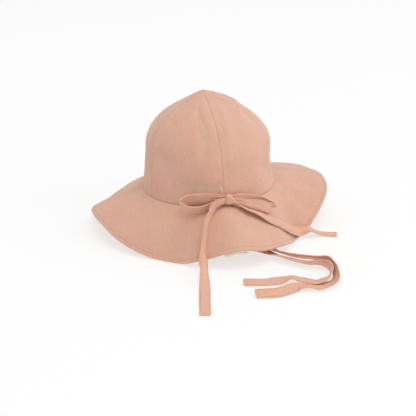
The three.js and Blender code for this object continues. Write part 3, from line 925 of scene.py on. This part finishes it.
def brim_piece():
    """The brim as one closed ring of cloth: over the top, round the rolled edge and back under."""
    angle = np.arange(BRIM_COLUMNS) * 360 / BRIM_COLUMNS
    inner = brim_middle(angle, np.zeros(BRIM_COLUMNS), FLOOR_EASE)
    outer = brim_middle(angle, np.ones(BRIM_COLUMNS), FLOOR_EASE)
    wide = np.linalg.norm(outer - inner, axis=1)[:, None]
    field = np.linspace(0, 1, 27)[:-1]
    far = 1 - (FIELD_END + (wide - FIELD_END) * (1 - field)) / wide
    share = np.concatenate([far, 1 - NEAR_STEPS / wide], axis=1)
    middle = brim_middle(np.broadcast_to(angle[:, None], share.shape), share, FLOOR_EASE)
    normal = -round_normals(middle)
    off_floor = np.clip((middle[..., 2] - EDGE_ROUND) / 5, 0, 1)
    off_seam = np.clip(share / 0.25, 0, 1)
    waves = noise_layers(middle, BRIM_WAVES) + fold_relief(middle[..., :2], BRIM_FOLDS)
    middle = middle + normal * (waves * off_floor * off_seam)[..., None]
    thick = BRIM_CLOTH / 2 + brim_relief(middle, (1 - share) * wide)
    top = middle + normal * thick[..., None]
    under = middle - normal * thick[..., None]
    last, out = middle[:, -1], middle[:, -1] - middle[:, -2]
    out /= np.linalg.norm(out, axis=1)[:, None]
    turn = np.radians(ROLL_TURNS)
    radius = EDGE_ROUND - ROLL_DENTS
    rolled = (
        last[:, None]
        + normal[:, -1:] * (np.sin(turn) * radius)[:, None]
        + out[:, None] * (np.cos(turn) * radius)[:, None]
    )
    profile = np.concatenate([top, rolled, under[:, ::-1]], axis=1)
    profile[..., 2] = np.maximum(profile[..., 2], 0.0)
    points, faces, corners = grid_faces(
        profile, closed_chart(profile[..., :2]), wrap_rows=True, wrap_columns=True
    )
    add_piece("brim_cloth", points, faces, corners, PEACH, ("brim",))
    row = far.shape[1] + int(np.argmin(np.abs(NEAR_STEPS - HEM_INSET)))
    lines = []
    for face, normals in ((top, normal), (under, -normal)):
        line = np.concatenate([face[:, row], face[:1, row]])
        lines.append((line, np.concatenate([normals[:, row], normals[:1, row]])))
    stitch_rows("brim_hem_stitching", lines, length=2.3, pitch=3.0, width=0.5)


brim_piece()


# Crown. The chart of its folds is the way round from the back, at CROWN_ROUND millimetres a
# degree, and the share of the crown's height times CROWN_RISE.
CROWN_FOLDS = [
    (-26.7, 104.3, -17.8, 80.2, 7, -2.0),
    (-17.8, 80.2, -16.5, 49.5, 6.5, -1.7),
    (24, 100, 15.2, 78, 7, 1.2),
    (15.2, 78, 8.3, 42, 5, 1.1),
    (-16.5, 90.8, -4.5, 84.5, 1.3, 0.6),
    (-88.3, 36, -57.8, 38.2, 9, -1.4),
    (-78, 98, -72, 62, 9, 1.5),
    (-41.3, 15, -10.2, 14.2, 6, -2.0),
    (50.8, 23.2, 65.4, 19.5, 6, -1.2),
    (-2.2, 17, 1.9, 9.8, 1.1, -0.6),
    (1.8, 15, 5.6, 9, 1.0, -0.6),
    (120, 97.5, 76, 97.5, 4.5, -4.0),
    (76, 97.5, 69.8, 80.2, 6, -1.4),
    (51, 126, 85, 107, 5, 0.8),
    (0.8, 62, 0.8, 84, 1.1, -0.5),
]
CROWN_ROUND = 1.27
CROWN_RISE = 150
CROWN_WAVES = [(0.5, 30.0, 42), (0.16, 12.0, 43)]
# Height and width of what each seam does to the cloth, and the ridge's distance from it
SEAM_CREASE = (-0.5, 0.65)
SEAM_HOLLOW = (-0.25, 4.5)
SEAM_RIDGE = (0.26, 1.0)
SEAM_PUCKERS = (0.22, 7)
RIDGE_INSET = 1.9
SEAM_OFFSETS = np.array([0, 0.25, 0.5, 0.8, 1.2, 1.8, 2.6, 3.6])
FOOT_DROP = 1.3
TOP_DIP = 0.4
PANEL_CHART_STEP = 200


def crown_angles():
    """Directions round the crown, close together on both sides of each seam."""
    edges = PANEL_SEAMS + [360]
    angles = []
    for start, end in zip(edges, edges[1:]):
        between = np.linspace(start + SEAM_OFFSETS[-1], end - SEAM_OFFSETS[-1], 34)
        angles += [start + SEAM_OFFSETS[:-1], between, (end - SEAM_OFFSETS[:-1])[::-1][:-1]]
    return np.concatenate(angles)


def crown_relief(angle, share, middle):
    """How far the cloth stands out: sunk seams with a ridge beside them, puckers and folds."""
    radius = np.maximum(np.hypot(middle[..., 0], middle[..., 1]), 16)
    from_seam = np.radians(panel_place(angle)[2]) * radius
    shapes = ((SEAM_CREASE, 0), (SEAM_HOLLOW, 0), (SEAM_RIDGE, RIDGE_INSET))
    seam = sum(height * soft_line(from_seam - inset, wide) for (height, wide), inset in shapes)
    pucker, pucker_width = SEAM_PUCKERS
    puckers = pucker * soft_noise(middle, 6.5, 41) * soft_line(from_seam, pucker_width)
    waves = noise_layers(middle, CROWN_WAVES)
    way_round = (np.mod(angle + 180, 360) - 180) * CROWN_ROUND
    folds = fold_relief(np.stack([way_round, share * CROWN_RISE], axis=-1), CROWN_FOLDS)
    return seam + puckers + waves * np.clip(share / 0.08, 0, 1) + folds


def crown_chart(angle, profile):
    """The crown's cloth laid flat, panel by panel, for its weave."""
    number, across, _ = panel_place(angle)
    spans = np.diff(PANEL_SEAMS + [360])[number]
    radius = np.hypot(profile[..., 0], profile[..., 1])
    flat_x = radius * np.sin(np.radians((across - 0.5) * spans))[:, None]
    flat_x += number[:, None] * PANEL_CHART_STEP
    steps = np.linalg.norm(np.diff(profile, axis=1), axis=-1)
    flat_y = np.concatenate([np.zeros((len(angle), 1)), np.cumsum(steps, axis=1)], axis=1)
    return closed_chart(np.stack([flat_x, flat_y], axis=-1))


def crown_piece():
    """The crown's cloth from its top down the outside, round its foot and up the inside."""
    angle = crown_angles()
    foot_shares, wall_shares = np.linspace(0, 0.06, 7)[:-1], np.linspace(0.06, 1, 76)
    outer_angle, outer_share = np.meshgrid(
        angle, np.concatenate([foot_shares, wall_shares]), indexing="ij"
    )
    middle = crown_middle(outer_angle, outer_share)
    normal = round_normals(middle)
    fade = np.clip((1 - outer_share) / 0.03, 0.2, 1)
    relief = crown_relief(outer_angle, outer_share, middle) * fade
    outer = middle + normal * (CROWN_CLOTH / 2 + relief)[..., None]
    lining = crown_middle(*np.meshgrid(angle, np.linspace(0, 1, 40), indexing="ij"))
    lining = lining - round_normals(lining) * CROWN_CLOTH / 2
    foot = middle[:, 0]
    down = foot - middle[:, 1]
    down /= np.linalg.norm(down, axis=1)[:, None]
    turn = np.radians([30, 60, 90, 120, 150])[:, None]
    hem = (
        foot[:, None]
        + normal[:, :1] * np.cos(turn) * CROWN_CLOTH / 2
        + down[:, None] * np.sin(turn) * FOOT_DROP
    )
    top_out = leaned(np.array([0, 0, CROWN_HEIGHT + CROWN_CLOTH / 2 - TOP_DIP]))
    top_in = leaned(np.array([0, 0, CROWN_HEIGHT - CROWN_CLOTH / 2]))
    tops = [np.broadcast_to(top, (len(angle), 1, 3)) for top in (top_out, top_in)]
    profile = np.concatenate([tops[0], outer[:, ::-1], hem, lining, tops[1]], axis=1)
    points, faces, corners = grid_faces(profile, crown_chart(angle, profile), wrap_rows=True)
    nodes = [f"crown_panel_{k + 1}" for k in range(len(PANEL_SEAMS))]
    add_piece("crown_cloth", points, faces, corners, PEACH, nodes)


crown_piece()


# Floor and light
FLOOR_HALF = 6.0
FLOOR_HEIGHT = -0.0003
FLOOR_LOOK = {
    "Base Color": (0.31, 0.31, 0.31, 1),
    "Roughness": 0.9,
    "Specular IOR Level": 0.1,
    "Emission Color": (1, 1, 1, 1),
    "Emission Strength": 0.655,
}
SKY_STRENGTH = 0.68
LIGHT_AIM = Vector((0, 0, 0.06))


def add_floor():
    material, tree, shader = node_tree("white_floor")
    fill_inputs(tree, shader, FLOOR_LOOK)
    sides = ((-1, -1), (1, -1), (1, 1), (-1, 1))
    corners = [(x * FLOOR_HALF, y * FLOOR_HALF, FLOOR_HEIGHT) for x, y in sides]
    mesh = bpy.data.meshes.new("floor")
    mesh.from_pydata(corners, [], [(0, 1, 2, 3)])
    mesh.materials.append(material)
    floor = bpy.data.objects.new("floor", mesh)
    bpy.context.collection.objects.link(floor)


def add_light(name, towards, distance, size, power):
    """A soft square light, placed by how far right, up and back towards the camera it stands."""
    right, up, back = camera_axes()
    data = bpy.data.lights.new(name, "AREA")
    data.shape = "SQUARE"
    data.size = size
    data.energy = power
    light = bpy.data.objects.new(name, data)
    way = (right * towards[0] + up * towards[1] + back * towards[2]).normalized()
    light.location = LIGHT_AIM + way * distance
    light.rotation_euler = way.to_track_quat("Z", "Y").to_euler()
    bpy.context.collection.objects.link(light)


def add_sky():
    world = bpy.data.worlds.new("sky")
    world.use_nodes = True
    background = world.node_tree.nodes["Background"]
    background.inputs["Color"].default_value = (1, 1, 1, 1)
    background.inputs["Strength"].default_value = SKY_STRENGTH
    bpy.context.scene.world = world


add_floor()
add_sky()
add_light("key", towards=(1.0, 0.3, 0.5), distance=3.6, size=2.2, power=27)
add_light("fill", towards=(0.12, 1.1, 0.9), distance=4.4, size=2.8, power=74)
bpy.context.scene.view_settings.view_transform = "Standard"
